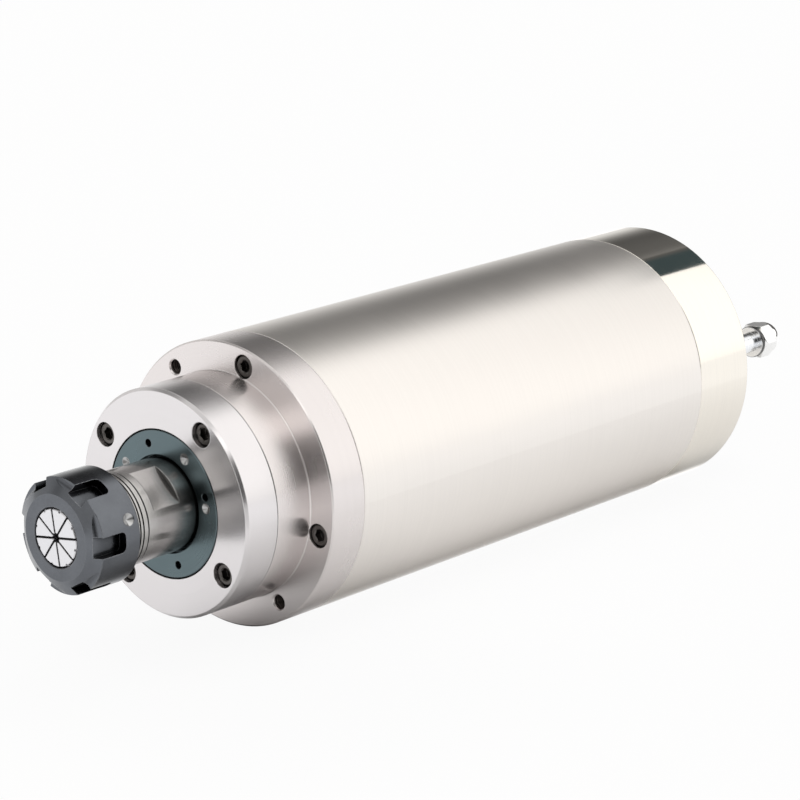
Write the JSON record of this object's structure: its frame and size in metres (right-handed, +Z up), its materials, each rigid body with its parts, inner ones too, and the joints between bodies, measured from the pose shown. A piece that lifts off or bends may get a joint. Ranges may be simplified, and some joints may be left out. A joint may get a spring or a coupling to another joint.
{
  "type": "motor spindle",
  "caption": "Water-cooled motor spindle: round steel body with a bolted bearing nose, a collet and clamping nut for tools, and water and power connections at the rear.",
  "frame": {"origin": "on the shaft axis at the middle of the body tube, where a clamp holds it", "axes": "+Y along the shaft axis from nose to rear, +Z up as the spindle lies on its side"},
  "size_m": [0.105, 0.3606, 0.105],
  "materials": {
    "ground_steel": "ground, satin",
    "turned_steel": "fine turned, semi-bright",
    "polished_steel": "polished",
    "shaft_steel": "hardened and ground",
    "collet_steel": "ground, matt",
    "blackened_steel": "black oxide",
    "dark_ring_steel": "blued, turned",
    "screw_steel": "black oxide",
    "nickel_brass": "nickel plated brass",
    "bearing_steel": "ground",
    "ceramic_ball": "silicon nitride, polished",
    "bearing_cage": "laminated phenolic",
    "aluminium": "turned",
    "laminations": "stacked sheet",
    "cast_aluminium": "cast",
    "winding": "varnished copper",
    "rubber": "matt",
    "copper_washer": "annealed copper",
    "socket_insulator": "moulded",
    "contact_metal": "gold-coloured plating",
    "spring_steel": "hardened",
    "lead_insulation": "silicone sleeving"
  },
  "bodies": {
    "housing": {"body_tube": "ground_steel", "front_flange": "turned_steel", "nose_cover": "turned_steel", "rear_cap": "polished_steel", "rear_bearing_housing": "aluminium", "rear_bearing_cover": "aluminium", "nose_cover_screws": "screw_steel", "flange_screws": "screw_steel", "rear_cap_screws": "screw_steel", "rear_cover_screws": "screw_steel", "water_jacket_sleeve": "aluminium", "jacket_o_rings": "rubber", "water_port_o_rings": "rubber", "stator_core": "laminations", "stator_winding": "winding", "motor_leads": "lead_insulation", "front_bearing_outer_rings": "bearing_steel", "rear_bearing_outer_rings": "bearing_steel", "front_outer_spacer": "bearing_steel", "preload_spring": "spring_steel", "water_inlet_fitting": "nickel_brass", "water_outlet_fitting": "nickel_brass", "fitting_washers": "copper_washer", "power_socket_shell": "nickel_brass", "power_socket_insert": "socket_insulator", "power_socket_pins": "contact_metal", "power_socket_nut": "nickel_brass"},
    "rotor": {"spindle_shaft": "shaft_steel", "rotor_core": "laminations", "rotor_cage": "cast_aluminium", "lock_ring": "dark_ring_steel", "rear_lock_nut": "dark_ring_steel", "front_bearing_inner_rings": "bearing_steel", "rear_bearing_inner_rings": "bearing_steel", "front_inner_spacer": "bearing_steel"},
    "front_ball_set": {"front_bearing_cages": "bearing_cage", "front_bearing_balls": "ceramic_ball"},
    "rear_ball_set": {"rear_bearing_cages": "bearing_cage", "rear_bearing_balls": "ceramic_ball"},
    "collet": {"collet": "collet_steel"},
    "collet_nut": {"collet_nut": "blackened_steel"},
    "inlet_ferrule": {"inlet_hose_ferrule": "nickel_brass"},
    "inlet_nut": {"inlet_hose_nut": "nickel_brass"},
    "outlet_ferrule": {"outlet_hose_ferrule": "nickel_brass"},
    "outlet_nut": {"outlet_hose_nut": "nickel_brass"}
  },
  "joints": [
    {"name": "rotor_spin", "type": "hinge", "parent": "housing", "child": "rotor", "pos_m": [0, 0, 0], "axis": [0, -1, 0], "continuous": true},
    {"name": "front_balls_orbit", "type": "hinge", "parent": "housing", "child": "front_ball_set", "pos_m": [0, 0, 0], "axis": [0, -1, 0], "continuous": true},
    {"name": "rear_balls_orbit", "type": "hinge", "parent": "housing", "child": "rear_ball_set", "pos_m": [0, 0, 0], "axis": [0, -1, 0], "continuous": true},
    {"name": "collet_slide", "type": "slide", "parent": "rotor", "child": "collet", "axis": [0, -1, 0], "range_m": [0, 0.009]},
    {"name": "collet_nut_turn", "type": "hinge", "parent": "collet", "child": "collet_nut", "pos_m": [0, 0, 0], "axis": [0, -1, 0], "range_deg": [0, 2161]},
    {"name": "inlet_ferrule_slide", "type": "slide", "parent": "housing", "child": "inlet_ferrule", "axis": [0, 1, 0], "range_m": [0, 0.005]},
    {"name": "inlet_nut_turn", "type": "hinge", "parent": "inlet_ferrule", "child": "inlet_nut", "pos_m": [0.03712, 0.155, 0.00661], "axis": [0, 1, 0], "range_deg": [0, 1801]},
    {"name": "outlet_ferrule_slide", "type": "slide", "parent": "housing", "child": "outlet_ferrule", "axis": [0, 1, 0], "range_m": [0, 0.005]},
    {"name": "outlet_nut_turn", "type": "hinge", "parent": "outlet_ferrule", "child": "outlet_nut", "pos_m": [-0.03144, 0.155, 0.02081], "axis": [0, 1, 0], "range_deg": [0, 1801]}
  ],
  "couplings": [
    {"joint": "front_balls_orbit", "follows": "rotor_spin", "ratio": 0.4213},
    {"joint": "rear_balls_orbit", "follows": "rotor_spin", "ratio": 0.4155},
    {"joint": "collet_nut_turn", "follows": "collet_slide", "rad_per_m": 4188.8},
    {"joint": "inlet_nut_turn", "follows": "inlet_ferrule_slide", "rad_per_m": 6283.2},
    {"joint": "outlet_nut_turn", "follows": "outlet_ferrule_slide", "rad_per_m": 6283.2}
  ]
}
